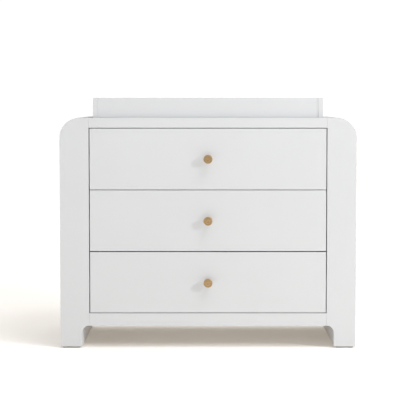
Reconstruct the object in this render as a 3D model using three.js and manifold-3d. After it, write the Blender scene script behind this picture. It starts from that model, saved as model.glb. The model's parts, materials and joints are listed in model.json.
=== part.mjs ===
// A nursery dresser with three drawers and a lift-off changing tray.
// Millimetres, +Z up, front towards -Y, origin on the floor under the middle of the whole box.
//
// The case is a face frame (two stiles, two rails) on hollow sides. Each side is a bent outer
// panel with a rounded upper corner, a flat inner panel that carries the drawer slides, a leg
// board below and a rear stile. The drawers are inset boxes on telescopic ball-bearing slides
// with three members each: outer (on the case), mid (free between them), inner (on the drawer).
import * as THREE from "three";
import { mergeVertices } from "three/addons/utils/BufferGeometryUtils.js";
import Module from "manifold-3d";

const wasm = await Module();
wasm.setup();

// ---------------------------------------------------------------- driving sizes

const caseWidth = 1100;
const caseHeight = 858; // floor to top face
const caseDepth = 500;
const cornerRadius = 73; // rounded upper corner of each side

const stileWidth = 108;
const legWidth = 81; // what is left of a stile below the arch
const archHeight = 83.5; // floor to underside of the bottom rail
const archRadius = 26;
const topRailHeight = 37;
const bottomRailHeight = 47;
const frameThickness = 22; // front stiles and both front rails
const rearStileThickness = 18;

const sidePanelThickness = 15; // bent outer panels
const panelThickness = 18; // inner panels, top, bottom, leg boards, rear rail
const bottomPanelLift = 20; // underside of the bottom panel above the arch
const rearRailHeight = 60;
const backPanelThickness = 5;
const backRebateWidth = 10; // how far the back panel is let into each rear stile

const footHeight = 6;
const footWidth = 65;
const footLength = 65;
const footRadius = 6;
const footSetback = 8; // pad behind the front face, and in front of the rear face

const reveal = 2.6; // gap above the upper front and below the other two
const wideReveal = 4; // gap between the lower and the middle front
const sideReveal = 3.4; // gap on each side of the fronts
const frontThickness = 18;
const boxLift = 12; // drawer sides above the lower edge of the front
const boxDrop = 44; // drawer sides below the upper edge of the front
const boxRearClearance = 34.7; // behind the drawer boxes, so that the slides are a stock 400 long
const boxSideThickness = 12;
const boxBottomThickness = 5;
const grooveLift = 10; // groove for the bottom above the lower edge of the drawer sides
const grooveDepth = 6;

const slideThickness = 12.7;
const slideHeight = 45;
const slideSteel = 1.2;
const slideBallTrack = 2.6; // room for the balls between two members' flanges
const slideWebGap = 1.2; // between the webs of the outer and mid members
const slideLipGap = 1.5; // the mid member's flanges stop this far short of the drawer
const slideOuterDepth = 9.6; // how far the outer member's flanges reach
const slideInnerDepth = 7.9; // how far the inner member's flanges reach
const slideSetback = 2; // behind the face frame
const slideRearAllowance = 18; // slides shorter than the drawer box at the rear

const knobDiameter = 33;
const knobProjection = 28;
const knobNeckRadius = 5.5;
const knobFlareRadius = 8.2; // where the neck meets the back of the head
const knobFlareLength = 2.7;
const knobBaseRadius = 8;
const knobRim = 9; // thickness of the knob's head
const knobRimRound = 2.2;
const knobDish = 0.8; // depth of the hollow in the knob's face
const screwRadius = 2;
const screwHoleRadius = 2.5;
const screwHeadRadius = 4;
const screwHeadHeight = 2.5;

const trayLength = 854;
const trayDepth = 455;
const trayHeight = 74;
const trayBoardThickness = 18;
const trayBoardInset = 1.5; // front and back boards behind the ends of the side boards
const traySetback = 20; // tray behind the front face

const joint = 0.3; // glue line or seat between two pieces that touch
const weldDistance = 0.001; // corners nearer than this are one corner
const drawerNames = ["lower", "middle", "upper"];

const arcSegments = 28; // per quarter turn
const knobSegments = 40;
const holeSegments = 20;

// ---------------------------------------------------------------- sizes that follow

const frontY = (knobProjection - caseDepth) / 2; // knobs and back are equally far from y = 0
const backY = frontY + caseDepth;
const frameBackY = frontY + frameThickness;
const rearStileY = backY - rearStileThickness;
const backPanelY = backY - backPanelThickness;

const outerX = caseWidth / 2;
const openingX = outerX - stileWidth; // half the drawer opening
const legX = outerX - legWidth;
const topRailZ = caseHeight - topRailHeight;
const bottomRailTopZ = archHeight + bottomRailHeight;
const bottomPanelZ = archHeight + bottomPanelLift;
const topPanelZ = caseHeight - panelThickness;

const gapBelow = { lower: reveal, middle: wideReveal, upper: reveal };
const gapsHeight = drawerNames.reduce((sum, drawer) => sum + gapBelow[drawer], reveal);
const frontHeight = (topRailZ - bottomRailTopZ - gapsHeight) / drawerNames.length;
const frontHalfWidth = openingX - sideReveal;
const boxHeight = frontHeight - boxLift - boxDrop;
const boxHalfWidth = openingX - slideThickness - 2 * joint;
const boxFrontY = frontY + frontThickness + joint;
const boxRearY = backPanelY - joint - panelThickness - boxRearClearance;
const boxInnerX = boxHalfWidth - boxSideThickness;
const boxBottomZ = boxLift + grooveLift;

const slideStartY = frameBackY + slideSetback;
const slideEndY = boxRearY - slideRearAllowance;
const slideZ = boxLift + boxHeight / 2; // above the lower edge of the drawer front
const slideFaceX = openingX - joint; // where the outer member lies on the inner panel

// ---------------------------------------------------------------- materials

const material = (color, roughness, metalness = 0) =>
  new THREE.MeshStandardMaterial({ color, roughness, metalness });

const whiteLacquer = material(0xe9e9e7, 0.42);
const backBoard = material(0xdedcd6, 0.6);
const drawerWood = material(0xdcc7a4, 0.55);
const slideZinc = material(0xb9bcc0, 0.35, 0.9);
const knobBrass = material(0xb89a6a, 0.38, 0.9);
const footPlastic = material(0xaeaaa6, 0.7);

// ---------------------------------------------------------------- shapes

function outline(points) {
  return new THREE.Shape(points.map(([u, v]) => new THREE.Vector2(u, v)));
}

// Sweeps an outline drawn in x and z from y0 to y1.
function alongY(shape, y0, y1) {
  const geometry = new THREE.ExtrudeGeometry(shape, {
    depth: y1 - y0,
    bevelEnabled: false,
    curveSegments: arcSegments,
  });
  geometry.rotateX(Math.PI / 2);
  geometry.translate(0, y1, 0);
  return geometry;
}

// Sweeps an outline drawn in x and y from z0 to z1.
function alongZ(shape, z0, z1) {
  const geometry = new THREE.ExtrudeGeometry(shape, {
    depth: z1 - z0,
    bevelEnabled: false,
    curveSegments: arcSegments,
  });
  geometry.translate(0, 0, z0);
  return geometry;
}

function solidOf(geometry) {
  const bare = geometry.clone();
  bare.deleteAttribute("normal");
  bare.deleteAttribute("uv");
  const merged = mergeVertices(bare, weldDistance);
  return new wasm.Manifold(
    new wasm.Mesh({
      numProp: 3,
      vertProperties: merged.attributes.position.array,
      triVerts: new Uint32Array(merged.index.array),
    }),
  );
}

function geometryOf(solid) {
  const { vertProperties, triVerts } = solid.getMesh();
  const geometry = new THREE.BufferGeometry();
  geometry.setAttribute("position", new THREE.BufferAttribute(vertProperties, 3));
  geometry.setIndex(new THREE.BufferAttribute(triVerts, 1));
  geometry.computeVertexNormals();
  return geometry;
}

function cut(geometry, ...tools) {
  return geometryOf(tools.reduce((rest, tool) => rest.subtract(solidOf(tool)), solidOf(geometry)));
}

// A box geometry between two values on each axis, and a board: the same box as a placed mesh.
function block([x0, x1], [y0, y1], [z0, z1]) {
  const geometry = new THREE.BoxGeometry(x1 - x0, y1 - y0, z1 - z0);
  geometry.translate((x0 + x1) / 2, (y0 + y1) / 2, (z0 + z1) / 2);
  return geometry;
}

function board(name, finish, [x0, x1], [y0, y1], [z0, z1]) {
  const mesh = new THREE.Mesh(new THREE.BoxGeometry(x1 - x0, y1 - y0, z1 - z0), finish);
  mesh.name = name;
  mesh.position.set((x0 + x1) / 2, (y0 + y1) / 2, (z0 + z1) / 2);
  return mesh;
}

function piece(name, finish, geometry) {
  const mesh = new THREE.Mesh(geometry, finish);
  mesh.name = name;
  return mesh;
}

// Everything on one side is drawn for the right. The left is its mirror image.
function sideGroup(side) {
  const group = new THREE.Group();
  group.scale.x = side === "left" ? -1 : 1;
  return group;
}

const bothSides = ["left", "right"];

// ---------------------------------------------------------------- the case

// Seen from the front: a rounded upper corner outside, and below the arch a narrower leg.
function stileOutline() {
  const radius = Math.min(archRadius, stileWidth - legWidth, archHeight - footHeight);
  const shape = new THREE.Shape();
  shape.moveTo(legX, footHeight);
  shape.lineTo(outerX, footHeight);
  shape.lineTo(outerX, caseHeight - cornerRadius);
  shape.absarc(outerX - cornerRadius, caseHeight - cornerRadius, cornerRadius, 0, Math.PI / 2);
  shape.lineTo(openingX, caseHeight);
  shape.lineTo(openingX, archHeight);
  shape.lineTo(legX - radius, archHeight);
  shape.absarc(legX - radius, archHeight - radius, radius, Math.PI / 2, 0, true);
  shape.lineTo(legX, footHeight);
  return shape;
}

function frontStile(side) {
  return piece(
    `front_stile_${side}`,
    whiteLacquer,
    alongY(stileOutline(), frontY, frameBackY - joint),
  );
}

// The rear stile has a rebate behind, for the back panel. It is open below, at the arch.
function rearStile(side) {
  const rebate = block(
    [openingX - backRebateWidth, openingX + backRebateWidth],
    [backPanelY - joint, backY + backPanelThickness],
    [archHeight - archRadius, topPanelZ],
  );
  const stile = alongY(stileOutline(), rearStileY, backY);
  return piece(`rear_stile_${side}`, whiteLacquer, cut(stile, rebate));
}

// The outer panel runs up the side, round the corner and in to the top panel.
function sidePanel(side) {
  const centreX = outerX - cornerRadius;
  const centreZ = caseHeight - cornerRadius;
  const endX = Math.min(openingX + panelThickness + joint, centreX);
  const shape = new THREE.Shape();
  shape.moveTo(outerX, footHeight);
  shape.lineTo(outerX, centreZ);
  shape.absarc(centreX, centreZ, cornerRadius, 0, Math.PI / 2);
  shape.lineTo(endX, caseHeight);
  shape.lineTo(endX, caseHeight - sidePanelThickness);
  shape.lineTo(centreX, caseHeight - sidePanelThickness);
  shape.absarc(centreX, centreZ, cornerRadius - sidePanelThickness, Math.PI / 2, 0, true);
  shape.lineTo(outerX - sidePanelThickness, footHeight);
  return piece(
    `side_panel_${side}`,
    whiteLacquer,
    alongY(shape, frameBackY, rearStileY - joint),
  );
}

function innerPanel(side) {
  return board(
    `inner_panel_${side}`,
    whiteLacquer,
    [openingX, openingX + panelThickness],
    [frameBackY, rearStileY - joint],
    [bottomPanelZ + panelThickness + joint, topPanelZ - joint],
  );
}

function legBoard(side) {
  return board(
    `leg_board_${side}`,
    whiteLacquer,
    [legX, legX + panelThickness],
    [frameBackY, rearStileY - joint],
    [footHeight, bottomPanelZ - joint],
  );
}

// A pad under each leg, centred across it, one near the front and one near the rear.
function footPad(side, end) {
  const x = (legX + outerX) / 2;
  const near = footSetback + footLength / 2;
  const y = end === "front" ? frontY + near : backY - near;
  const [a, b] = [footWidth / 2 - footRadius, footLength / 2 - footRadius];
  const shape = new THREE.Shape();
  shape.absarc(a, b, footRadius, 0, Math.PI / 2);
  shape.absarc(-a, b, footRadius, Math.PI / 2, Math.PI);
  shape.absarc(-a, -b, footRadius, Math.PI, Math.PI * 1.5);
  shape.absarc(a, -b, footRadius, Math.PI * 1.5, Math.PI * 2);
  const pad = piece(
    `foot_pad_${end}_${side}`,
    footPlastic,
    alongZ(shape, 0, footHeight - joint),
  );
  pad.position.set(x, y, 0);
  return pad;
}

// A horizontal panel whose rear corners are notched round the rear stiles.
function notchedPanel(halfWidth, rearY) {
  const notchX = openingX - joint;
  const notchY = rearStileY - joint;
  return outline([
    [-halfWidth, frameBackY],
    [halfWidth, frameBackY],
    [halfWidth, notchY],
    [notchX, notchY],
    [notchX, rearY],
    [-notchX, rearY],
    [-notchX, notchY],
    [-halfWidth, notchY],
  ]);
}

function topPanel() {
  const halfWidth = Math.min(openingX + panelThickness, outerX - cornerRadius - joint);
  return piece("top_panel", whiteLacquer, alongZ(notchedPanel(halfWidth, backY), topPanelZ, caseHeight));
}

function bottomPanel() {
  const halfWidth = outerX - sidePanelThickness - joint;
  return piece(
    "bottom_panel",
    whiteLacquer,
    alongZ(notchedPanel(halfWidth, backPanelY - joint), bottomPanelZ, bottomPanelZ + panelThickness),
  );
}

function frontRail(name, z0, z1) {
  const half = openingX - joint;
  return board(name, whiteLacquer, [-half, half], [frontY, frameBackY - joint], [z0, z1]);
}

function rearRail() {
  const half = openingX - joint;
  const rearY = backPanelY - joint;
  const topZ = topPanelZ - joint;
  return board(
    "rear_rail",
    whiteLacquer,
    [-half, half],
    [rearY - panelThickness, rearY],
    [topZ - rearRailHeight, topZ],
  );
}

// The back panel covers the rear edge of the bottom panel and ends level with the bottom rail.
function backPanel() {
  const half = openingX + backRebateWidth - joint;
  return board(
    "back_panel",
    backBoard,
    [-half, half],
    [backPanelY, backY],
    [archHeight, topPanelZ - joint],
  );
}

function caseGroup() {
  const group = new THREE.Group();
  group.add(
    frontRail("top_rail", topRailZ, caseHeight),
    frontRail("bottom_rail", archHeight, bottomRailTopZ),
    rearRail(),
    topPanel(),
    bottomPanel(),
    backPanel(),
  );
  for (const side of bothSides) {
    const half = sideGroup(side);
    half.add(
      frontStile(side),
      rearStile(side),
      sidePanel(side),
      innerPanel(side),
      legBoard(side),
      footPad(side, "front"),
      footPad(side, "rear"),
    );
    group.add(half);
  }
  return group;
}

// ---------------------------------------------------------------- the slides

// A steel channel. Its web starts webDepth from the inner panel and its flanges end at
// lipDepth, nearer the panel or further from it. halfHeight is to the outside of the flanges.
function channel(webDepth, lipDepth, halfHeight) {
  const steel = Math.sign(lipDepth - webDepth) * slideSteel;
  const x = (depth) => slideFaceX - depth;
  const inside = halfHeight - slideSteel;
  return outline([
    [x(webDepth), slideZ - halfHeight],
    [x(lipDepth), slideZ - halfHeight],
    [x(lipDepth), slideZ - inside],
    [x(webDepth + steel), slideZ - inside],
    [x(webDepth + steel), slideZ + inside],
    [x(lipDepth), slideZ + inside],
    [x(lipDepth), slideZ + halfHeight],
    [x(webDepth), slideZ + halfHeight],
  ]);
}

// The three members nest: each is lower than the one before by a flange and a ball track.
function slideMembers(drawer, side) {
  const step = slideSteel + slideBallTrack;
  const half = slideHeight / 2;
  const shapes = {
    outer: channel(0, slideOuterDepth, half),
    mid: channel(slideSteel + slideWebGap, slideThickness - slideLipGap, half - step),
    inner: channel(slideThickness, slideThickness - slideInnerDepth, half - 2 * step),
  };
  const group = sideGroup(side);
  for (const [member, shape] of Object.entries(shapes)) {
    group.add(
      piece(
        `${member}_slide_${drawer}_${side}`,
        slideZinc,
        alongY(shape, slideStartY, slideEndY),
      ),
    );
  }
  return group;
}

// ---------------------------------------------------------------- the drawers

// Round knob on a neck, with the screw that holds it from inside the drawer. Its axis is y.
function knob(drawer) {
  const radius = knobDiameter / 2;
  const headBack = knobProjection - knobRim;
  const inside = -frontThickness - joint;
  const profile = [
    [0, inside - screwHeadHeight],
    [screwHeadRadius, inside - screwHeadHeight],
    [screwHeadRadius, inside],
    [screwRadius, inside],
    [screwRadius, joint],
    [knobBaseRadius, joint],
    [knobNeckRadius, knobBaseRadius - knobNeckRadius + joint],
    [knobNeckRadius, headBack - knobFlareLength],
    [knobFlareRadius, headBack - joint],
    [radius - knobRimRound, headBack],
    [radius, headBack + knobRimRound],
    [radius, knobProjection - knobRimRound],
    [radius - knobRimRound, knobProjection],
    [radius / 2, knobProjection - knobDish / 2],
    [0, knobProjection - knobDish],
  ].map(([r, out]) => new THREE.Vector2(r, out));
  const geometry = new THREE.LatheGeometry(profile, knobSegments);
  geometry.rotateX(Math.PI);
  const mesh = piece(`knob_${drawer}`, knobBrass, geometry);
  mesh.position.set(0, frontY, frontHeight / 2);
  return mesh;
}

// Inset front with a hole for the knob's screw and a groove behind for the drawer bottom.
function drawerFront(drawer) {
  const grooveX = boxInnerX + grooveDepth;
  const screwHole = new THREE.CylinderGeometry(
    screwHoleRadius,
    screwHoleRadius,
    2 * frontThickness,
    holeSegments,
  );
  screwHole.translate(0, frontY + frontThickness / 2, frontHeight / 2);
  const groove = block(
    [-grooveX, grooveX],
    [frontY + frontThickness - grooveDepth, frontY + 2 * frontThickness],
    [boxBottomZ - joint, boxBottomZ + boxBottomThickness + joint],
  );
  const front = block(
    [-frontHalfWidth, frontHalfWidth],
    [frontY, frontY + frontThickness],
    [0, frontHeight],
  );
  return piece(`drawer_front_${drawer}`, whiteLacquer, cut(front, screwHole, groove));
}

// A drawer side, with the groove for the bottom on its inner face.
function drawerSide(drawer, side) {
  const grooveX = boxInnerX + grooveDepth;
  const [z0, z1] = [boxBottomZ - joint, boxBottomZ + boxBottomThickness + joint];
  const shape = outline([
    [boxInnerX, boxLift],
    [boxHalfWidth, boxLift],
    [boxHalfWidth, boxLift + boxHeight],
    [boxInnerX, boxLift + boxHeight],
    [boxInnerX, z1],
    [grooveX, z1],
    [grooveX, z0],
    [boxInnerX, z0],
  ]);
  const group = sideGroup(side);
  group.add(
    piece(`drawer_side_${drawer}_${side}`, drawerWood, alongY(shape, boxFrontY, boxRearY)),
  );
  return group;
}

function drawerBack(drawer) {
  const half = boxInnerX - joint;
  return board(
    `drawer_back_${drawer}`,
    drawerWood,
    [-half, half],
    [boxRearY - boxSideThickness, boxRearY],
    [boxBottomZ + boxBottomThickness + joint, boxLift + boxHeight],
  );
}

function drawerBottom(drawer) {
  const half = boxInnerX + grooveDepth - joint;
  return board(
    `drawer_bottom_${drawer}`,
    drawerWood,
    [-half, half],
    [frontY + frontThickness - grooveDepth + joint, boxRearY],
    [boxBottomZ, boxBottomZ + boxBottomThickness],
  );
}

// A drawer and its slides, drawn from the lower edge of the drawer front, which is at z.
function drawerGroup(drawer, z) {
  const group = new THREE.Group();
  group.position.z = z;
  group.add(drawerFront(drawer), drawerBack(drawer), drawerBottom(drawer), knob(drawer));
  for (const side of bothSides) {
    group.add(drawerSide(drawer, side), slideMembers(drawer, side));
  }
  return group;
}

// ---------------------------------------------------------------- the changing tray

// Four boards that stand on the top. The side boards run the full depth, cover the ends of the
// front and back boards and stand a little proud of them. Drawn from the top panel up.
function trayGroup() {
  const half = trayLength / 2;
  const innerX = half - trayBoardThickness;
  const y0 = frontY + traySetback;
  const y1 = y0 + trayDepth;
  const z = [0, trayHeight];
  const across = [-innerX + joint, innerX - joint];
  const frontBoardY = y0 + trayBoardInset;
  const backBoardY = y1 - trayBoardInset;
  const group = new THREE.Group();
  group.position.z = caseHeight + joint;
  group.add(
    board("tray_front", whiteLacquer, across, [frontBoardY, frontBoardY + trayBoardThickness], z),
    board("tray_back", whiteLacquer, across, [backBoardY - trayBoardThickness, backBoardY], z),
  );
  for (const side of bothSides) {
    const end = sideGroup(side);
    end.add(board(`tray_side_${side}`, whiteLacquer, [innerX, half], [y0, y1], z));
    group.add(end);
  }
  return group;
}

// ---------------------------------------------------------------- the whole dresser

const dresser = new THREE.Group();
dresser.add(caseGroup(), trayGroup());
let z = bottomRailTopZ;
for (const drawer of drawerNames) {
  z += gapBelow[drawer];
  dresser.add(drawerGroup(drawer, z));
  z += frontHeight;
}

export default dresser;
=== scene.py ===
"""A white nursery dresser with three drawers on ball-bearing slides and a lift-off changing tray.

Metres, +Z up, front towards -Y. The frame's boards and pads stay and get a finish and eased edges. Its
knobs and slide members are replaced by finer pieces. Balls, screws, cams, caps and leg blocks are added.
"""

import json
import math

import bmesh
import bpy
from mathutils import Matrix, Vector


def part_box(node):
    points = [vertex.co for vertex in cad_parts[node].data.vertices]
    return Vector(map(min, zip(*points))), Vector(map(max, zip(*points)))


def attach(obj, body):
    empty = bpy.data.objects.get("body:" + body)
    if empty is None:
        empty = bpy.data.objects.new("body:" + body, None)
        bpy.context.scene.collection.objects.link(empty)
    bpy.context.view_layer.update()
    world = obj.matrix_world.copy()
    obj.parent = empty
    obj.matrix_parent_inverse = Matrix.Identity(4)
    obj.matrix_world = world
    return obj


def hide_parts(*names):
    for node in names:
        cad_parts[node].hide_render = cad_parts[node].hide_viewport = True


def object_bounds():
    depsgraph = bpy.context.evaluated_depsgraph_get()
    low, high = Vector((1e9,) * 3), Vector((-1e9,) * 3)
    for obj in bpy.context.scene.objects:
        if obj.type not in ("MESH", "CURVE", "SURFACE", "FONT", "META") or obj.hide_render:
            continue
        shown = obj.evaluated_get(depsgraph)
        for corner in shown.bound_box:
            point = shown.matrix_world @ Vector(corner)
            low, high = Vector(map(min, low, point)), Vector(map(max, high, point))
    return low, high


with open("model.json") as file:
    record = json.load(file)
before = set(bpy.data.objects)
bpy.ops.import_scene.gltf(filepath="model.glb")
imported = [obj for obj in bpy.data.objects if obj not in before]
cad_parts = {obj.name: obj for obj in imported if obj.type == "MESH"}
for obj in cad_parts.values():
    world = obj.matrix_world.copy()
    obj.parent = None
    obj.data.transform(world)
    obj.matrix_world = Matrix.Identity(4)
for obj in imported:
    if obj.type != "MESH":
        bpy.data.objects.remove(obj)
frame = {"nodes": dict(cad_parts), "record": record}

cad_low, cad_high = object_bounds()

MM = 0.001
X, Y, Z = Vector((1, 0, 0)), Vector((0, 1, 0)), Vector((0, 0, 1))
DRAWERS = ("lower", "middle", "upper")
SIDES = {"left": -1, "right": 1}

# ---------------------------------------------------------------- sizes

GAP = 0.3 * MM  # glue line or seat between two pieces that touch

EASED_EDGE = 0.35 * MM  # case and tray boards
SOFT_EDGE = 1.3 * MM  # drawer fronts
THIN_EDGE = 0.3 * MM  # back panel and drawer bottoms
PAD_EDGE = 0.8 * MM
PLY_EDGE = 0.5 * MM
BOX_PLY = 1.4 * MM  # thickness of one ply in the drawer boxes
BOTTOM_PLY = 1.3 * MM

SLIDE_STEEL = 1.2 * MM
SLIDE_BEND = 1.6 * MM  # radius of the bends between web and flanges, to the middle of the steel
OUTER_CURL = 0.9 * MM  # how far the lips of the outer member curl in
MID_WAVE = 0.5 * MM  # half the height of the wave in the mid member's flanges
INNER_GROOVE = 0.6 * MM  # depth of the ball groove in the inner member's flanges
OUTER_BALL = 1.55 * MM  # radius of the balls between outer and mid
INNER_BALL = 1.4 * MM  # radius of the balls between mid and inner
OUTER_BALL_DEPTH = 5.0 * MM  # ball centres from the face of the inner panel
INNER_BALL_DEPTH = 8.5 * MM
BALL_PLAY = 0.1 * MM  # between a ball and the flange outside it
BALL_PITCH = 9 * MM
BALLS_PER_TRACK = 12
CAGE_WIDTH = 3.8 * MM
CAGE_STEEL = 0.5 * MM
CAGE_EDGE = 0.15 * MM

SCREW_SLOT = (9 * MM, 2.6 * MM)  # length and end radius
LONG_SCREW_SLOT = (12 * MM, 2.6 * MM)
DRAWER_SCREW_SLOT = (14 * MM, 2.6 * MM)
END_WINDOW = (26 * MM, 4 * MM)
MIDDLE_WINDOW = (40 * MM, 4 * MM)
OUTER_SLOTS = {0.06: SCREW_SLOT, 0.30: LONG_SCREW_SLOT, 0.62: LONG_SCREW_SLOT, 0.94: SCREW_SLOT}
MID_SLOTS = {0.15: END_WINDOW, 0.50: MIDDLE_WINDOW, 0.85: END_WINDOW}
INNER_SLOTS = {0.05: SCREW_SLOT, 0.22: DRAWER_SCREW_SLOT, 0.70: DRAWER_SCREW_SLOT, 0.95: SCREW_SLOT}
CASE_SCREWS = (0.30, 0.62, 0.94)  # places along a slide are shares of its length from the front
DRAWER_SCREWS = (0.22, 0.70, 0.95)
OUTER_BALLS_START = 0.15
INNER_BALLS_START = 0.08
LEVER_START = 0.42
LEVER_THICKNESS = 2.4 * MM
SLOT_REACH = 3 * MM  # how far a slot is cut to each side of the middle of a web

KNOB_RIM = 9 * MM  # thickness of the head
KNOB_EDGE = 2.2 * MM  # rounding in front of the rim
KNOB_NECK = 5.5 * MM  # radii
KNOB_FOOT = 8 * MM
KNOB_DIMPLE = 2.0 * MM
KNOB_RING = 0.66  # groove in the face, as a share of the knob's radius
RING_WIDTH = 0.9 * MM
RING_DEPTH = 0.7 * MM
RING_LIP = 0.15 * MM  # rounding on both sides of the groove
DIMPLE_DEPTH = 1.1 * MM
TURNING_PITCH = 0.28 * MM  # between the fine rings that turning leaves in the brass

# Radius and height of each head, disc and cap.
PAN_HEAD = (3.6 * MM, 2.0 * MM)
KNOB_SCREW_HEAD = (4.0 * MM, 2.4 * MM)
FLAT_HEAD = (4.2 * MM, 0.9 * MM)
BACK_SCREW_HEAD = (3.2 * MM, 1.3 * MM)
CAM_FACE = (7.5 * MM, 0.8 * MM)
CAP_HEAD = (6 * MM, 0.9 * MM)

CAM_SETBACK = 34 * MM  # behind the front end of the drawer side
BOX_FIXINGS = (0.3, 0.78)  # cams and box screws, as shares of the drawer side's height
TRAY_FIXINGS = (0.27, 0.73)
BACK_SCREW_INSET = 6 * MM
BACK_SCREW_SPACING = 150 * MM
BRACKET_STEEL = 1.6 * MM
BRACKET_HALF_LENGTH = 26 * MM  # between the centres of its round ends, halved
BRACKET_RADIUS = 9 * MM
STRAP_SLOT_HALF_LENGTH = 9 * MM
STRAP_SLOT_RADIUS = 3 * MM
SIDE_PANEL = 15 * MM  # thickness
LEG_BLOCK_HEIGHT = 50 * MM
LEG_BLOCK_EDGE = 0.8 * MM

# ---------------------------------------------------------------- node trees


class Finish:
    """A Principled material whose inputs are driven by procedural nodes in object coordinates."""

    def __init__(self, name, **constants):
        self.material = bpy.data.materials.new(name)
        self.material.use_nodes = True
        self.tree = self.material.node_tree
        self.shader = self.tree.nodes["Principled BSDF"]
        for key, value in constants.items():
            self.shader.inputs[key.replace("_", " ")].default_value = value
        self.place = self.node("ShaderNodeTexCoord")

    def node(self, kind, inputs=None, **settings):
        made = self.tree.nodes.new(kind)
        for key, value in settings.items():
            setattr(made, key, value)
        for key, value in (inputs or {}).items():
            if isinstance(value, bpy.types.NodeSocket):
                self.tree.links.new(value, made.inputs[key])
            else:
                made.inputs[key].default_value = value
        return made

    def noise(self, scale, detail=3.0, stretch=(1, 1, 1), distortion=0.0):
        mapping = self.node("ShaderNodeMapping", {"Vector": self.place.outputs["Object"], "Scale": stretch})
        return self.node(
            "ShaderNodeTexNoise",
            {"Vector": mapping.outputs[0], "Scale": scale, "Detail": detail, "Distortion": distortion},
        ).outputs["Fac"]

    def ramp(self, factor, *stops):
        made = self.node("ShaderNodeValToRGB", {"Fac": factor})
        elements = made.color_ramp.elements
        while len(elements) < len(stops):
            elements.new(0.5)
        for element, (position, colour) in zip(elements, stops):
            element.position = position
            element.color = (*colour, 1)
        return made.outputs["Color"]

    def range(self, value, low, high, from_low=0.0, from_high=1.0):
        inputs = {"Value": value, "From Min": from_low, "From Max": from_high}
        inputs |= {"To Min": low, "To Max": high}
        return self.node("ShaderNodeMapRange", inputs).outputs["Result"]

    def math(self, operation, *values):
        return self.node("ShaderNodeMath", dict(enumerate(values)), operation=operation).outputs[0]

    def mix(self, factor, first, second):
        made = self.node("ShaderNodeMix", {"Factor": factor, "A": first, "B": second}, data_type="RGBA")
        return made.outputs["Result"]

    def bump(self, height, strength, distance, under=None):
        inputs = {"Height": height, "Strength": strength, "Distance": distance}
        if under is not None:
            inputs["Normal"] = under
        return self.node("ShaderNodeBump", inputs).outputs["Normal"]

    def axis(self, name, output="Object"):
        return self.node("ShaderNodeSeparateXYZ", {"Vector": self.place.outputs[output]}).outputs[name]

    def drive(self, **links):
        for key, socket in links.items():
            self.tree.links.new(socket, self.shader.inputs[key.replace("_", " ")])
        return self.material


# ---------------------------------------------------------------- finishes


def white_lacquer():
    """Sprayed satin lacquer: almost even white, faint orange peel, soft clouds in its gloss."""
    finish = Finish("white_lacquer", Coat_Weight=0.25, Coat_Roughness=0.22)
    tone = finish.noise(2.5, 4)
    peel = finish.bump(finish.noise(520, 2), 0.05, 0.3 * MM)
    waves = finish.bump(finish.noise(14, 2), 0.04, 2 * MM, peel)
    return finish.drive(
        Base_Color=finish.ramp(tone, (0.35, (0.648, 0.661, 0.676)), (0.65, (0.663, 0.676, 0.691))),
        Roughness=finish.range(finish.noise(9, 5), 0.36, 0.5),
        Normal=waves,
    )


def painted_light_white():
    """Brighter, duller white on the leg boards that face each other under the case: painted light that
    lifts faces standing in shade.
    """
    finish = Finish("painted_light_white")
    return finish.drive(
        Base_Color=finish.ramp(finish.noise(6, 4), (0.3, (0.84, 0.85, 0.86)), (0.7, (0.87, 0.88, 0.89))),
        Roughness=finish.range(finish.noise(40, 3), 0.6, 0.75),
        Normal=finish.bump(finish.noise(300, 2), 0.1, 0.2 * MM),
    )


def back_foil():
    """Printed foil on hardboard: matt off-white with a fine linen emboss, brown where the board is cut."""
    finish = Finish("back_foil")
    weave_x = finish.node("ShaderNodeTexWave", {"Vector": finish.place.outputs["Object"], "Scale": 300.0})
    weave_z = finish.node(
        "ShaderNodeTexWave",
        {"Vector": finish.place.outputs["Object"], "Scale": 300.0},
        bands_direction="Z",
    )
    linen = finish.math("ADD", weave_x.outputs["Fac"], weave_z.outputs["Fac"])
    foil = finish.ramp(finish.noise(6, 5), (0.3, (0.70, 0.69, 0.665)), (0.7, (0.755, 0.745, 0.72)))
    fibres = finish.ramp(finish.noise(160, 5), (0.3, (0.26, 0.17, 0.10)), (0.7, (0.42, 0.30, 0.19)))
    flatness = finish.math("ABSOLUTE", finish.axis("Y", "Normal"))
    is_face = finish.math("GREATER_THAN", flatness, 0.5)
    return finish.drive(
        Base_Color=finish.mix(is_face, fibres, foil),
        Roughness=finish.range(finish.noise(30, 3), 0.5, 0.66),
        Normal=finish.bump(linen, 0.12, 0.2 * MM),
    )


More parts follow.
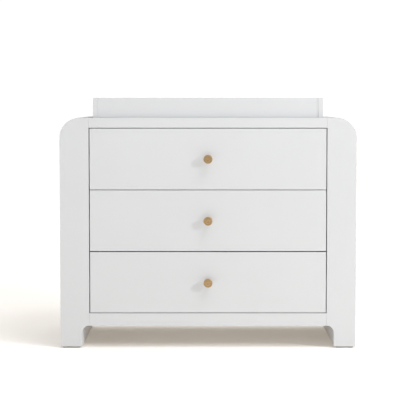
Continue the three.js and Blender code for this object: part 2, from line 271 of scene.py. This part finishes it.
def birch_ply(grain, across, ply_thickness):
    """Sealed birch plywood: the axis that its grain runs along, and the axis that crosses its plies."""
    finish = Finish(f"birch_ply_{grain}_{across}", Coat_Weight=0.15, Coat_Roughness=0.35)
    along = {"X": (0.05, 1, 1), "Y": (1, 0.05, 1)}[grain]
    figure = finish.noise(26, 5, along, 1.2)
    pores = finish.noise(700, 3, along, 0.0)
    clouds = finish.noise(5, 3, along)
    pale = finish.ramp(
        figure,
        (0.3, (0.63, 0.46, 0.28)),
        (0.5, (0.74, 0.59, 0.39)),
        (0.7, (0.80, 0.66, 0.46)),
    )
    face = finish.mix(finish.range(clouds, 0, 0.35, 0.35, 0.7), pale, (0.70, 0.52, 0.33, 1))
    fleck = finish.range(pores, 0, 0.5, 0.62, 0.8)
    face = finish.mix(fleck, face, (0.45, 0.30, 0.17, 1))
    position = finish.math("MULTIPLY", finish.axis(across), 1 / ply_thickness)
    ply = finish.math("FRACT", finish.math("ABSOLUTE", position))
    edge = finish.ramp(
        ply,
        (0.42, (0.76, 0.62, 0.42)),
        (0.48, (0.40, 0.26, 0.14)),
        (0.55, (0.58, 0.42, 0.25)),
    )
    speckle = finish.range(finish.noise(900, 2), 0, 0.35, 0.45, 0.75)
    edge = finish.mix(speckle, edge, (0.42, 0.29, 0.17, 1))
    flatness = finish.math("ABSOLUTE", finish.axis(across, "Normal"))
    is_face = finish.math("GREATER_THAN", flatness, 0.5)
    return finish.drive(
        Base_Color=finish.mix(is_face, edge, face),
        Roughness=finish.range(figure, 0.42, 0.6),
        Normal=finish.bump(pores, 0.12, 0.15 * MM),
    )


def zinc(name="bright_zinc", stretch=(1, 0.02, 1)):
    """Bright zinc plate on rolled steel: fine draw marks, cloudy passivation with a trace of yellow."""
    finish = Finish(name, Metallic=1.0)
    marks = finish.noise(900, 4, stretch)
    clouds = finish.noise(35, 4)
    return finish.drive(
        Base_Color=finish.ramp(
            clouds,
            (0.3, (0.60, 0.62, 0.65)),
            (0.55, (0.68, 0.69, 0.70)),
            (0.8, (0.70, 0.67, 0.60)),
        ),
        Roughness=finish.range(marks, 0.22, 0.42, 0.3, 0.7),
        Normal=finish.bump(marks, 0.08, 0.1 * MM),
    )


def satin_brass(centre):
    """Brass turned about an axis along y: fine rings round the centre and faint clouds of tarnish."""
    finish = Finish("satin_brass", Metallic=1.0)
    shift = finish.node(
        "ShaderNodeMapping", {"Vector": finish.place.outputs["Object"], "Location": [-c for c in centre]}
    )
    parts = finish.node("ShaderNodeSeparateXYZ", {"Vector": shift.outputs[0]})
    square_x = finish.math("POWER", parts.outputs["X"], 2.0)
    square_z = finish.math("POWER", parts.outputs["Z"], 2.0)
    radius = finish.math("SQRT", finish.math("ADD", square_x, square_z))
    rings = finish.math("SINE", finish.math("MULTIPLY", radius, 2 * math.pi / TURNING_PITCH))
    tarnish = finish.noise(240, 4)
    return finish.drive(
        Base_Color=finish.ramp(tarnish, (0.3, (0.448, 0.302, 0.156)), (0.7, (0.53, 0.372, 0.2))),
        Roughness=finish.range(finish.noise(500, 3), 0.3, 0.46),
        Normal=finish.bump(rings, 0.06, 0.03 * MM),
    )


def moulded(name, low, high, roughness):
    """Moulded plastic with a spark-eroded grain."""
    finish = Finish(name)
    grain = finish.noise(1500, 2)
    return finish.drive(
        Base_Color=finish.ramp(finish.noise(60, 3), (0.3, low), (0.7, high)),
        Roughness=finish.range(grain, roughness - 0.06, roughness + 0.06),
        Normal=finish.bump(grain, 0.25, 0.1 * MM),
    )


def pine():
    """Sawn pine blocks."""
    finish = Finish("sawn_pine")
    figure = finish.noise(40, 4, (1, 1, 0.08), 1.0)
    return finish.drive(
        Base_Color=finish.ramp(figure, (0.35, (0.66, 0.46, 0.25)), (0.6, (0.78, 0.61, 0.38))),
        Roughness=finish.range(figure, 0.55, 0.75),
        Normal=finish.bump(finish.noise(400, 3, (1, 1, 0.1)), 0.3, 0.3 * MM),
    )


LACQUER = white_lacquer()
PAINTED_LIGHT_WHITE = painted_light_white()
FOIL = back_foil()
ZINC = zinc()
STEEL_BALL = zinc("polished_ball", (1, 1, 1))
PINE = pine()
NYLON = moulded("warm_grey_nylon", (0.47, 0.455, 0.435), (0.52, 0.505, 0.485), 0.6)
BLACK = moulded("black_plastic", (0.028, 0.028, 0.03), (0.04, 0.04, 0.042), 0.45)
CAP_WHITE = moulded("cap_white", (0.74, 0.74, 0.73), (0.78, 0.78, 0.77), 0.5)

# ---------------------------------------------------------------- mesh tools


def piece(name, mesh, material, body):
    """A new visible piece that rides on a CAD body."""
    thing = bpy.data.objects.new(name, mesh)
    bpy.context.scene.collection.objects.link(thing)
    mesh.materials.clear()
    mesh.materials.append(material)
    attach(thing, body)
    return thing


def mesh_from(bm, name):
    """A smooth-shaded mesh with its faces turned outwards."""
    bmesh.ops.recalc_face_normals(bm, faces=bm.faces)
    mesh = bpy.data.meshes.new(name)
    bm.to_mesh(mesh)
    bm.free()
    mesh.polygons.foreach_set("use_smooth", [True] * len(mesh.polygons))
    return mesh


def sharpen(mesh, degrees=35):
    """Marks the edges that are sharper than an angle, so that smooth shading stops at them."""
    mesh.set_sharp_from_angle(angle=math.radians(degrees))
    return mesh


def arc(centre, radius, start, end, steps):
    """Points on an arc, angles in degrees."""
    angles = [math.radians(start + (end - start) * i / steps) for i in range(steps + 1)]
    return [(centre[0] + radius * math.cos(a), centre[1] + radius * math.sin(a)) for a in angles]


def lathe(name, profile, segments):
    """Turns a profile of (radius, height) about z. It starts and ends on the axis."""
    bm = bmesh.new()
    rings = []
    for radius, height in profile:
        if radius == 0:
            rings.append([bm.verts.new((0, 0, height))])
            continue
        turn = [2 * math.pi * i / segments for i in range(segments)]
        rings.append([bm.verts.new((radius * math.cos(a), radius * math.sin(a), height)) for a in turn])
    for low, high in zip(rings, rings[1:]):
        for i in range(segments):
            j = (i + 1) % segments
            corners = [low[i % len(low)], low[j % len(low)], high[j % len(high)], high[i % len(high)]]
            bm.faces.new(list(dict.fromkeys(corners)))
    return sharpen(mesh_from(bm, name), 40)


def swept(name, outline, y0, y1):
    """A closed outline in x and z, swept along y."""
    bm = bmesh.new()
    front = [bm.verts.new((x, y0, z)) for x, z in outline]
    back = [bm.verts.new((x, y1, z)) for x, z in outline]
    count = len(outline)
    for i in range(count):
        j = (i + 1) % count
        bm.faces.new((front[i], front[j], back[j], back[i]))
    bm.faces.new(front)
    bm.faces.new(back)
    return sharpen(mesh_from(bm, name))


def thicken(path, thickness):
    """The closed outline of a strip of even thickness whose centre line is the path."""
    points = [Vector(p) for p in path]
    ahead = [b - a for a, b in zip(points, points[1:])]
    left, right = [], []
    for i, point in enumerate(points):
        before = ahead[max(i - 1, 0)].normalized()
        after = ahead[min(i, len(ahead) - 1)].normalized()
        middle = (before + after).normalized()
        normal = Vector((-middle.y, middle.x)) * (thickness / 2 / max(middle.dot(before), 0.5))
        left.append(point + normal)
        right.append(point - normal)
    return [tuple(p) for p in left + right[::-1]]


def baked(thing):
    """The mesh of an object with its modifiers applied. The object is removed."""
    graph = bpy.context.evaluated_depsgraph_get()
    mesh = bpy.data.meshes.new_from_object(thing.evaluated_get(graph))
    bpy.data.objects.remove(thing)
    return mesh


def without(mesh, tools):
    """The mesh with the shapes of other meshes cut away."""
    thing = bpy.data.objects.new("blank", mesh)
    bpy.context.scene.collection.objects.link(thing)
    cutter = bpy.data.objects.new("cutter", merged("cutter", tools))
    bpy.context.scene.collection.objects.link(cutter)
    cut = thing.modifiers.new("cut", "BOOLEAN")
    cut.operation = "DIFFERENCE"
    cut.solver = "EXACT"
    cut.use_self = True  # the tools may cross one another
    cut.object = cutter
    result = baked(thing)
    bpy.data.objects.remove(cutter)
    return sharpen(result)


def merged(name, copies):
    """One mesh from (mesh, matrix) pairs. A mirroring matrix also turns the faces round."""
    bm = bmesh.new()
    for mesh, matrix in copies:
        copy = mesh.copy()
        copy.transform(matrix)
        if matrix.determinant() < 0:
            copy.flip_normals()
        bm.from_mesh(copy)
        bpy.data.meshes.remove(copy)
    mesh = bpy.data.meshes.new(name)
    bm.to_mesh(mesh)
    bm.free()
    return mesh


def slab(name, low, high, edge=0.0):
    """A board between two corners with eased edges."""
    bm = bmesh.new()
    bmesh.ops.create_cube(bm, size=1)
    size = Vector(high) - Vector(low)
    middle = (Vector(high) + Vector(low)) / 2
    for vert in bm.verts:
        vert.co = middle + Vector([a * b for a, b in zip(vert.co, size)])
    if edge:
        bmesh.ops.bevel(bm, geom=bm.edges[:], offset=edge, segments=2, affect="EDGES", profile=0.5)
    return sharpen(mesh_from(bm, name), 50)


def facing(direction, position):
    """Places something made along +z at a point, with its +z turned to a direction."""
    return Matrix.Translation(position) @ Vector(direction).to_track_quat("Z", "Y").to_matrix().to_4x4()


MIRROR = Matrix.Scale(-1, 4, X)
SWAP_XY = Matrix(((0, 1, 0, 0), (1, 0, 0, 0), (0, 0, 1, 0), (0, 0, 0, 1)))

# ---------------------------------------------------------------- small fittings


def domed(name, radius, height, dome, segments):
    """A round head made along +z with its seat at z = 0. The dome is a share of its height."""
    steps = 8
    angles = [math.pi / 2 * i / steps for i in range(steps)]
    top = [(radius * math.cos(a), height * (1 - dome) + height * dome * math.sin(a)) for a in angles]
    return lathe(name, [(0, 0), (radius, 0), *top, (0, height)], segments)


def cross(half_length, half_width, low, high):
    """The two arms of a cross recess, as tools that cut down from high to low."""
    arm = slab("arm", (-half_length, -half_width, low), (half_length, half_width, high))
    return [(arm, Matrix.Identity(4)), (arm, Matrix.Rotation(math.pi / 2, 4, Z))]


def cross_head(name, radius, height, dome=0.75):
    """A domed screw head with a cross recess."""
    head = domed(name, radius, height, dome, 32)
    return without(head, cross(radius * 0.55, radius * 0.11, height * 0.45, height * 2))


def cam_disc(radius, height):
    """The face of a cam fitting: a zinc disc with a cross recess and an arrow notch."""
    chamfer = height * 0.4
    profile = [(0, 0), (radius, 0), (radius, height - chamfer), (radius - chamfer, height), (0, height)]
    disc = lathe("cam", profile, 48)
    notch_low = (radius * 0.72, -radius * 0.1, height * 0.4)
    notch_high = (radius * 1.2, radius * 0.1, height * 2)
    notch = slab("notch", notch_low, notch_high)
    tools = cross(radius * 0.5, radius * 0.12, -height, height * 2)
    return without(disc, [*tools, (notch, Matrix.Identity(4))])


PAN = cross_head("pan_head", *PAN_HEAD)
KNOB_SCREW = cross_head("knob_screw_head", *KNOB_SCREW_HEAD)
FLAT = cross_head("flat_head", *FLAT_HEAD, dome=0.6)
BACK_SCREW = cross_head("back_head", *BACK_SCREW_HEAD)
CAM = cam_disc(*CAM_FACE)
CAP = domed("cap", *CAP_HEAD, dome=0.65, segments=40)


# ---------------------------------------------------------------- boards


def dress(node, material, edge, segments=3):
    """A CAD board keeps its shape and gets a finish and eased edges."""
    board = frame["nodes"][node]
    mesh = board.data
    for name in ("custom_normal", "sharp_face", "sharp_edge"):
        if name in mesh.attributes:
            mesh.attributes.remove(mesh.attributes[name])
    mesh.polygons.foreach_set("use_smooth", [True] * len(mesh.polygons))
    mesh.materials.clear()
    mesh.materials.append(material)
    weld = board.modifiers.new("weld", "WELD")
    weld.merge_threshold = 0.01 * MM
    flats = board.modifiers.new("flats", "DECIMATE")
    flats.decimate_type = "DISSOLVE"
    flats.angle_limit = math.radians(0.5)
    bevel = board.modifiers.new("eased_edges", "BEVEL")
    bevel.width = edge
    bevel.segments = segments
    bevel.limit_method = "ANGLE"
    bevel.angle_limit = math.radians(40)
    bevel.harden_normals = True


def board_slot(node):
    return next(part["material_slot"] for part in frame["record"]["subparts"] if part["node"] == node)


def finish_boards():
    box_sides = birch_ply("Y", "X", BOX_PLY)
    box_ends = birch_ply("X", "Y", BOX_PLY)
    box_bottoms = birch_ply("X", "Z", BOTTOM_PLY)
    for node in frame["nodes"]:
        slot = board_slot(node)
        if slot == "white_lacquer":
            edge = SOFT_EDGE if node.startswith("drawer_front") else EASED_EDGE
            # Leg boards get the brighter white, painted light in the shade under the case.
            dress(node, PAINTED_LIGHT_WHITE if node.startswith("leg_board") else LACQUER, edge)
        elif slot == "back_board":
            dress(node, FOIL, THIN_EDGE, 1)
        elif slot == "foot_plastic":
            dress(node, NYLON, PAD_EDGE)
        elif node.startswith("drawer_side"):
            dress(node, box_sides, PLY_EDGE, 2)
        elif node.startswith("drawer_back"):
            dress(node, box_ends, PLY_EDGE, 2)
        elif node.startswith("drawer_bottom"):
            dress(node, box_bottoms, THIN_EDGE, 1)


# ---------------------------------------------------------------- knobs


def knob_stem(head_back):
    """The knob's profile from its seat, over the foot and the neck, to the back of its head."""
    foot_round = 0.6 * MM
    waist_x = KNOB_FOOT + 0.4 * MM
    flare = 4.2 * MM
    profile = [(0, GAP), (KNOB_FOOT, GAP)]
    profile += arc((KNOB_FOOT - foot_round, 1.3 * MM), foot_round, -30, 80, 4)
    profile += arc((waist_x, 5.2 * MM), waist_x - KNOB_NECK, 262, 182, 8)
    profile += arc((KNOB_NECK + flare, head_back - 4.0 * MM), flare, 180, 95, 8)
    return profile


def knob_rim(radius, head_back, face):
    """The profile round the edge of the head, a little sharper behind than in front."""
    back_edge = KNOB_EDGE * 0.8
    profile = [(radius - KNOB_EDGE, head_back + 0.4 * MM)]
    profile += arc((radius - back_edge, head_back + KNOB_EDGE), back_edge, -80, 0, 6)
    profile += arc((radius - KNOB_EDGE, face - KNOB_EDGE), KNOB_EDGE, 0, 84, 8)
    return profile


def knob_face(ring, face):
    """The profile from the ring groove inwards: the groove, a shallow hollow and the dimple."""
    groove_z = face - RING_DEPTH
    dimple_z = face - DIMPLE_DEPTH
    profile = arc((ring + RING_WIDTH, face - 0.35 * MM), RING_LIP, 90, 180, 2)
    profile += [(ring + RING_WIDTH * 0.6, groove_z), (ring - RING_WIDTH * 0.2, groove_z)]
    profile += arc((ring - RING_WIDTH * 0.6, face - 0.4 * MM), RING_LIP, 0, 90, 2)
    profile += [(ring * 0.5, face - 0.38 * MM), (KNOB_DIMPLE + 0.3 * MM, face - 0.6 * MM)]
    profile += [(KNOB_DIMPLE, face - 0.75 * MM), (KNOB_DIMPLE * 0.7, dimple_z), (0, dimple_z)]
    return profile


def knob_mesh(radius, projection):
    """A turned knob along +z: foot, waisted neck, flat head with a ring groove and a centre dimple."""
    head_back = projection - KNOB_RIM
    profile = knob_stem(head_back) + knob_rim(radius, head_back, projection)
    return lathe("knob", profile + knob_face(radius * KNOB_RING, projection), 96)


def make_knobs():
    for drawer in DRAWERS:
        node = f"knob_{drawer}"
        low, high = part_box(node)
        front_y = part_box(f"drawer_front_{drawer}")[0].y
        centre = Vector(((low.x + high.x) / 2, front_y, (low.z + high.z) / 2))
        mesh = knob_mesh((high.x - low.x) / 2, front_y - low.y)
        mesh.transform(facing(-Y, centre))
        knob = piece(f"brass_knob_{drawer}", mesh, satin_brass(centre), f"drawer_{drawer}")
        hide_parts(node)
        seat = Vector((centre.x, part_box(f"drawer_front_{drawer}")[1].y, centre.z))
        screw = merged(f"knob_screw_{drawer}", [(KNOB_SCREW, facing(Y, seat))])
        piece(f"knob_screw_{drawer}", screw, ZINC, f"drawer_{drawer}")


# ---------------------------------------------------------------- slides


def member_path(web_x, lip_x, half, wave):
    """The centre line of a slide member's section: lip, flange, bend, web, bend, flange, lip."""
    steps = 14
    away = math.copysign(1, lip_x - web_x)
    flange = []
    for i in range(steps + 1):
        t = i / steps
        x = web_x + away * SLIDE_BEND + (lip_x - web_x - away * SLIDE_BEND) * t
        flange.append((x, half - wave((x - web_x) / (lip_x - web_x))))
    corner_z = flange[0][1] - SLIDE_BEND
    bend = [
        (web_x + away * SLIDE_BEND * (1 - math.cos(a)), corner_z + SLIDE_BEND * math.sin(a))
        for a in (math.pi / 2 * i / 6 for i in range(6))
    ]
    upper = bend + flange
    lower = [(x, -z) for x, z in upper]
    return lower[::-1] + upper


def long_outline(half_length, radius, steps):
    """A stadium: two half circles whose centres are half_length either side of the middle."""
    right = arc((half_length, 0), radius, -90, 90, steps)
    return right + arc((-half_length, 0), radius, 90, 270, steps)


def slot_hole(length, radius):
    """A long hole's shape, lengthways along y and cut through x."""
    mesh = swept("slot", long_outline(length / 2 - radius, radius, 8), -SLOT_REACH, SLOT_REACH)
    mesh.transform(SWAP_XY)
    mesh.flip_normals()
    return mesh


def slide_member(kind, wave, web_inside, slots):
    """The right upper slide's member, with slots in its web, centred on z = 0."""
    low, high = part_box(f"{kind}_slide_upper_right")
    half_steel = SLIDE_STEEL / 2
    web_x, lip_x = (low.x + half_steel, high.x) if web_inside else (high.x - half_steel, low.x)
    half = (high.z - low.z) / 2 - half_steel
    section = thicken(member_path(web_x, lip_x, half, wave), SLIDE_STEEL)
    mesh = swept(kind, section, low.y, high.y)
    tools = []
    for share, size in slots.items():
        spot = (web_x, low.y + share * (high.y - low.y), 0)
        tools.append((slot_hole(*size), Matrix.Translation(spot)))
    return without(mesh, tools)


# How far each member's flanges bend towards its middle, where t runs from 0 at the web to 1 at the lip.


def outer_wave(t):
    return OUTER_CURL * max(0.0, (t - 0.6) / 0.4) ** 2


def mid_wave(t):
    return MID_WAVE - MID_WAVE * math.cos(2 * math.pi * (t - 0.7))


def inner_wave(t):
    return INNER_GROOVE * math.sin(math.pi * t) ** 2


def ball_run(radius, depth, member_half, y0):
    """Balls in the two tracks inside a member's flanges, and the thin cage strips that space them."""
    face_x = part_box("outer_slide_upper_right")[1].x + GAP
    track_z = member_half - SLIDE_STEEL - radius - BALL_PLAY
    bm = bmesh.new()
    bmesh.ops.create_icosphere(bm, subdivisions=2, radius=radius)
    ball = mesh_from(bm, "ball")
    half_width, half_steel = CAGE_WIDTH / 2, CAGE_STEEL / 2
    cage_length = BALL_PITCH * BALLS_PER_TRACK
    strip = slab("strip", (-half_width, 0, -half_steel), (half_width, cage_length, half_steel), CAGE_EDGE)
    balls, strips = [], []
    for track in (-track_z, track_z):
        start = Vector((face_x - depth, y0, track))
        strips.append((strip, Matrix.Translation(start)))
        for i in range(BALLS_PER_TRACK):
            balls.append((ball, Matrix.Translation(start + Y * BALL_PITCH * (i + 0.5))))
    return merged("balls", balls), merged("cage", strips)


def lever_mesh(web_x):
    """The black release lever inside the inner member: a bent arm with a thumb pad."""
    upper_edge = [(48, 1.5), (44, 4.5), (20, 2.5), (14, 4.5), (0, 4.5)]
    lower_edge = [(0, -3.5), (16, -3.5), (22, -1.5), (44, -1.5)]
    outline = [(y * MM, z * MM) for y, z in lower_edge + upper_edge]
    mesh = swept("lever", outline, 0, LEVER_THICKNESS)
    mesh.transform(Matrix.Translation((web_x + SLIDE_STEEL, 0, 0)) @ SWAP_XY)
    mesh.flip_normals()
    return mesh


def screw_row(direction, seat_x, shares, low, high):
    """Flat screws whose heads lie against a slide's web, as (mesh, matrix) pairs."""
    spots = [(seat_x, low.y + share * (high.y - low.y), 0) for share in shares]
    return [(FLAT, facing(direction, spot)) for spot in spots]


def slide_parts():
    """The parts of the right upper slide at z = 0, by name: meshes with places, finish, slot and rider."""
    low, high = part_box("outer_slide_upper_right")
    mid_low, mid_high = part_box("mid_slide_upper_right")
    inner_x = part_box("inner_slide_upper_right")[0].x
    length = high.y - low.y
    here = Matrix.Identity(4)
    outer_run = ball_run(
        OUTER_BALL, OUTER_BALL_DEPTH, (high.z - low.z) / 2, low.y + OUTER_BALLS_START * length
    )
    inner_run = ball_run(
        INNER_BALL, INNER_BALL_DEPTH, (mid_high.z - mid_low.z) / 2, low.y + INNER_BALLS_START * length
    )
    lever_place = Matrix.Translation((0, low.y + LEVER_START * length, 0))
    case_screws = screw_row(-X, high.x - SLIDE_STEEL, CASE_SCREWS, low, high)
    drawer_screws = screw_row(X, inner_x + SLIDE_STEEL, DRAWER_SCREWS, low, high)
    outer = slide_member("outer", outer_wave, False, OUTER_SLOTS)
    mid = slide_member("mid", mid_wave, False, MID_SLOTS)
    inner = slide_member("inner", inner_wave, True, INNER_SLOTS)
    return {
        "outer_member": ([(outer, here)], ZINC, "slide_zinc", "case"),
        "mid_member": ([(mid, here)], ZINC, "slide_zinc", "mid"),
        "inner_member": ([(inner, here)], ZINC, "slide_zinc", "drawer"),
        "outer_balls": ([(outer_run[0], here)], STEEL_BALL, "slide_zinc", "case"),
        "outer_cage": ([(outer_run[1], here)], ZINC, "slide_zinc", "case"),
        "inner_balls": ([(inner_run[0], here)], STEEL_BALL, "slide_zinc", "mid"),
        "inner_cage": ([(inner_run[1], here)], ZINC, "slide_zinc", "mid"),
        "release_lever": ([(lever_mesh(inner_x), lever_place)], BLACK, "black_plastic", "drawer"),
        "slide_screws_case": (case_screws, ZINC, "slide_zinc", "case"),
        "slide_screws_drawer": (drawer_screws, ZINC, "slide_zinc", "drawer"),
    }


def make_slides():
    """Six slides: the same parts, lifted to each drawer and mirrored on the left."""
    parts = slide_parts()
    for drawer in DRAWERS:
        low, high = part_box(f"outer_slide_{drawer}_right")
        lift = Matrix.Translation((0, 0, (low.z + high.z) / 2))
        for side, sign in SIDES.items():
            place = lift if sign > 0 else MIRROR @ lift
            tag = f"{drawer}_{side}"
            bodies = {"case": "case", "mid": f"mid_{tag}", "drawer": f"drawer_{drawer}"}
            for name, (copies, finish, slot, rider) in parts.items():
                mesh = merged(name, [(part, place @ matrix) for part, matrix in copies])
                thing = piece(f"{name}_{tag}", mesh, finish, bodies[rider])
                if name.endswith("_member"):
                    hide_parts(f"{name.removesuffix('_member')}_slide_{tag}")


# ---------------------------------------------------------------- drawer, case and tray fittings


def make_drawer_fittings():
    """Cams that hold the front on, and screws through the sides into the back."""
    for drawer in DRAWERS:
        body = f"drawer_{drawer}"
        back_low, back_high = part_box(f"drawer_back_{drawer}")
        back_y = (back_low.y + back_high.y) / 2
        cams, screws = [], []
        for side, sign in SIDES.items():
            low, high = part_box(f"drawer_side_{drawer}_{side}")
            inner_x, outer_x = (low.x, high.x) if sign > 0 else (high.x, low.x)
            for share in BOX_FIXINGS:
                z = low.z + share * (high.z - low.z)
                cams.append((CAM, facing(-X * sign, (inner_x, low.y + CAM_SETBACK, z))))
                screws.append((FLAT, facing(X * sign, (outer_x, back_y, z))))
        piece(f"cams_{drawer}", merged("cams", cams), ZINC, body)
        piece(f"box_screws_{drawer}", merged("screws", screws), ZINC, body)


def spread(start, end, spacing):
    """Evenly spaced values from start to end, about spacing apart."""
    count = max(1, round((end - start) / spacing))
    return [start + (end - start) * i / count for i in range(count + 1)]


def make_back_screws():
    low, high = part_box("back_panel")
    left, right = low.x + BACK_SCREW_INSET, high.x - BACK_SCREW_INSET
    bottom, top = low.z + BACK_SCREW_INSET, high.z - BACK_SCREW_INSET
    spots = []
    for x in spread(left, right, BACK_SCREW_SPACING):
        spots += [(x, high.y, bottom), (x, high.y, top)]
    for z in spread(bottom, top, BACK_SCREW_SPACING)[1:-1]:
        spots += [(left, high.y, z), (right, high.y, z)]
    screws = merged("screws", [(BACK_SCREW, facing(Y, spot)) for spot in spots])
    piece("back_screws", screws, ZINC, "case")


def make_wall_bracket():
    """The steel plate that a wall strap threads through, screwed to the rear rail."""
    mount = next(m for m in frame["record"]["mounts"] if m["name"] == "anti_tip_point")
    point = Vector(mount["pos_m"])
    plate = swept("plate", long_outline(BRACKET_HALF_LENGTH, BRACKET_RADIUS, 10), 0, BRACKET_STEEL)
    strap_slot = long_outline(STRAP_SLOT_HALF_LENGTH, STRAP_SLOT_RADIUS, 8)
    slot = swept("slot", strap_slot, -BRACKET_STEEL, 2 * BRACKET_STEEL)
    plate = without(plate, [(slot, Matrix.Identity(4))])
    plate.transform(Matrix.Translation(point))
    piece("wall_strap_bracket", plate, ZINC, "case")
    spots = [point + Y * BRACKET_STEEL + X * sign * BRACKET_HALF_LENGTH for sign in SIDES.values()]
    screws = merged("screws", [(PAN, facing(Y, spot)) for spot in spots])
    piece("wall_strap_screws", screws, ZINC, "case")


def make_tray_caps():
    """Push-in caps over the screws that hold the tray's side boards to its front and back."""
    for side, sign in SIDES.items():
        low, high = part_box(f"tray_side_{side}")
        outer_x = high.x if sign > 0 else low.x
        spots = []
        for board in ("tray_front", "tray_back"):
            y = sum(corner.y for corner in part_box(board)) / 2
            spots += [(outer_x, y, low.z + share * (high.z - low.z)) for share in TRAY_FIXINGS]
        caps = merged("caps", [(CAP, facing(X * sign, spot)) for spot in spots])
        piece(f"tray_caps_{side}", caps, CAP_WHITE, "tray")


def make_leg_blocks():
    """Pine blocks inside the legs, above the pads."""
    for side in SIDES:
        board_low, board_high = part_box(f"leg_board_{side}")
        panel_low, panel_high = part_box(f"side_panel_{side}")
        if side == "right":
            x0, x1 = board_high.x + GAP, panel_high.x - SIDE_PANEL - GAP
        else:
            x0, x1 = panel_low.x + SIDE_PANEL + GAP, board_low.x - GAP
        for end in ("front", "rear"):
            pad_low, pad_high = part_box(f"foot_pad_{end}_{side}")
            z0, z1 = pad_high.z + GAP, pad_high.z + LEG_BLOCK_HEIGHT
            if end == "front":
                y0, y1 = board_low.y + GAP, pad_high.y
            else:
                y0, y1 = pad_low.y, board_high.y - GAP
            block = slab("block", (x0, y0, z0), (x1, y1, z1), LEG_BLOCK_EDGE)
            piece(f"leg_block_{end}_{side}", block, PINE, "case")


# ---------------------------------------------------------------- floor, light and camera

EYE_HEIGHT = 0.918
EYE_DISTANCE = 5.2  # in front of the dresser's front face
LENS = 121.6
TILT = 3.2  # degrees down; the lens shift does the rest
SHIFT = -0.067
LIGHTS = {  # direction from the dresser, distance, diameter, watts
    "low_key": (Vector((0.789, -0.506, 0.349)), 7.0, 1.1, 181),
    "softbox": (Vector((0.30, -0.40, 0.866)), 5.0, 2.2, 76),
}
FLOOR_SIZE = 400
FLOOR_GLOW = 0.156  # the floor's warm glow near the dresser, painted light that fills the shade under it
BACKDROP_GLOW = 0.31  # and far away, where it fades into the backdrop
GLOW_RANGE = (1.8, 5.0)  # distances from the origin between which the one turns into the other
SKY_HORIZON = 0.12
SKY_ZENITH = 1.47
BACKDROP = 1.1


def make_floor():
    bm = bmesh.new()
    bmesh.ops.create_grid(bm, x_segments=8, y_segments=8, size=FLOOR_SIZE)
    floor = bpy.data.objects.new("floor", mesh_from(bm, "floor"))
    bpy.context.scene.collection.objects.link(floor)
    finish = Finish("floor_white", Roughness=0.9, Specular_IOR_Level=0.0)
    tone = finish.ramp(finish.noise(3, 2), (0.3, (0.92, 0.90, 0.88)), (0.7, (0.93, 0.91, 0.89)))
    away = finish.node("ShaderNodeVectorMath", {0: finish.place.outputs["Object"]}, operation="LENGTH")
    distance = away.outputs["Value"]
    # Painted light: the floor glows warm and dim near the dresser, filling the shade under the case, and
    # whiter and brighter far away, where it fades into the backdrop.
    glow = finish.range(distance, FLOOR_GLOW, BACKDROP_GLOW, *GLOW_RANGE)
    warmth = finish.range(distance, 0, 1, *GLOW_RANGE)
    tint = finish.ramp(warmth, (0, (1.0, 0.87, 0.69)), (1, (1, 1, 1)))
    material = finish.drive(Base_Color=tone, Emission_Strength=glow, Emission_Color=tint)
    floor.data.materials.append(material)


def make_sky():
    """White light from all round, strongest overhead. The camera itself sees an even white backdrop."""
    world = bpy.data.worlds.new("studio")
    bpy.context.scene.world = world
    world.use_nodes = True
    tree = world.node_tree
    tree.nodes.clear()
    output = tree.nodes.new("ShaderNodeOutputWorld")
    mix = tree.nodes.new("ShaderNodeMixShader")
    path = tree.nodes.new("ShaderNodeLightPath")
    place = tree.nodes.new("ShaderNodeTexCoord")
    parts = tree.nodes.new("ShaderNodeSeparateXYZ")
    height = tree.nodes.new("ShaderNodeMapRange")
    height.inputs["To Min"].default_value = SKY_HORIZON
    height.inputs["To Max"].default_value = SKY_ZENITH
    square = tree.nodes.new("ShaderNodeMath")
    square.operation = "POWER"
    square.inputs[1].default_value = 2.0
    tree.links.new(place.outputs["Generated"], parts.inputs[0])
    tree.links.new(parts.outputs["Z"], square.inputs[0])
    tree.links.new(square.outputs[0], height.inputs["Value"])
    lighting, backdrop = (tree.nodes.new("ShaderNodeBackground") for _ in range(2))
    tree.links.new(height.outputs["Result"], lighting.inputs["Strength"])
    backdrop.inputs["Strength"].default_value = BACKDROP
    for index, background in ((1, lighting), (2, backdrop)):
        background.inputs["Color"].default_value = (1, 1, 1, 1)
        tree.links.new(background.outputs[0], mix.inputs[index])
    tree.links.new(path.outputs["Is Camera Ray"], mix.inputs[0])
    tree.links.new(mix.outputs[0], output.inputs[0])


def make_light(name, direction, distance, diameter, watts):
    """A round area light that faces the middle of the dresser."""
    light = bpy.data.lights.new(name, "AREA")
    light.shape = "DISK"
    light.size = diameter
    light.energy = watts
    lamp = bpy.data.objects.new(name, light)
    bpy.context.scene.collection.objects.link(lamp)
    lamp.location = (cad_low + cad_high) / 2 + direction.normalized() * distance
    lamp.rotation_euler = (-direction).to_track_quat("-Z", "Y").to_euler()


def make_camera():
    data = bpy.data.cameras.new("camera")
    data.sensor_width = 36
    data.lens = LENS
    data.shift_y = SHIFT
    camera = bpy.data.objects.new("camera", data)
    bpy.context.scene.collection.objects.link(camera)
    front_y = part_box("front_stile_left")[0].y
    camera.location = (0, front_y - EYE_DISTANCE, EYE_HEIGHT)
    camera.rotation_euler = (math.radians(90 - TILT), 0, 0)
    bpy.context.scene.camera = camera
    bpy.context.scene.view_settings.view_transform = "Standard"


finish_boards()
make_knobs()
make_slides()
make_drawer_fittings()
make_back_screws()
make_wall_bracket()
make_tray_caps()
make_leg_blocks()
make_floor()
make_sky()
for light_name, light_setting in LIGHTS.items():
    make_light(light_name, *light_setting)
make_camera()
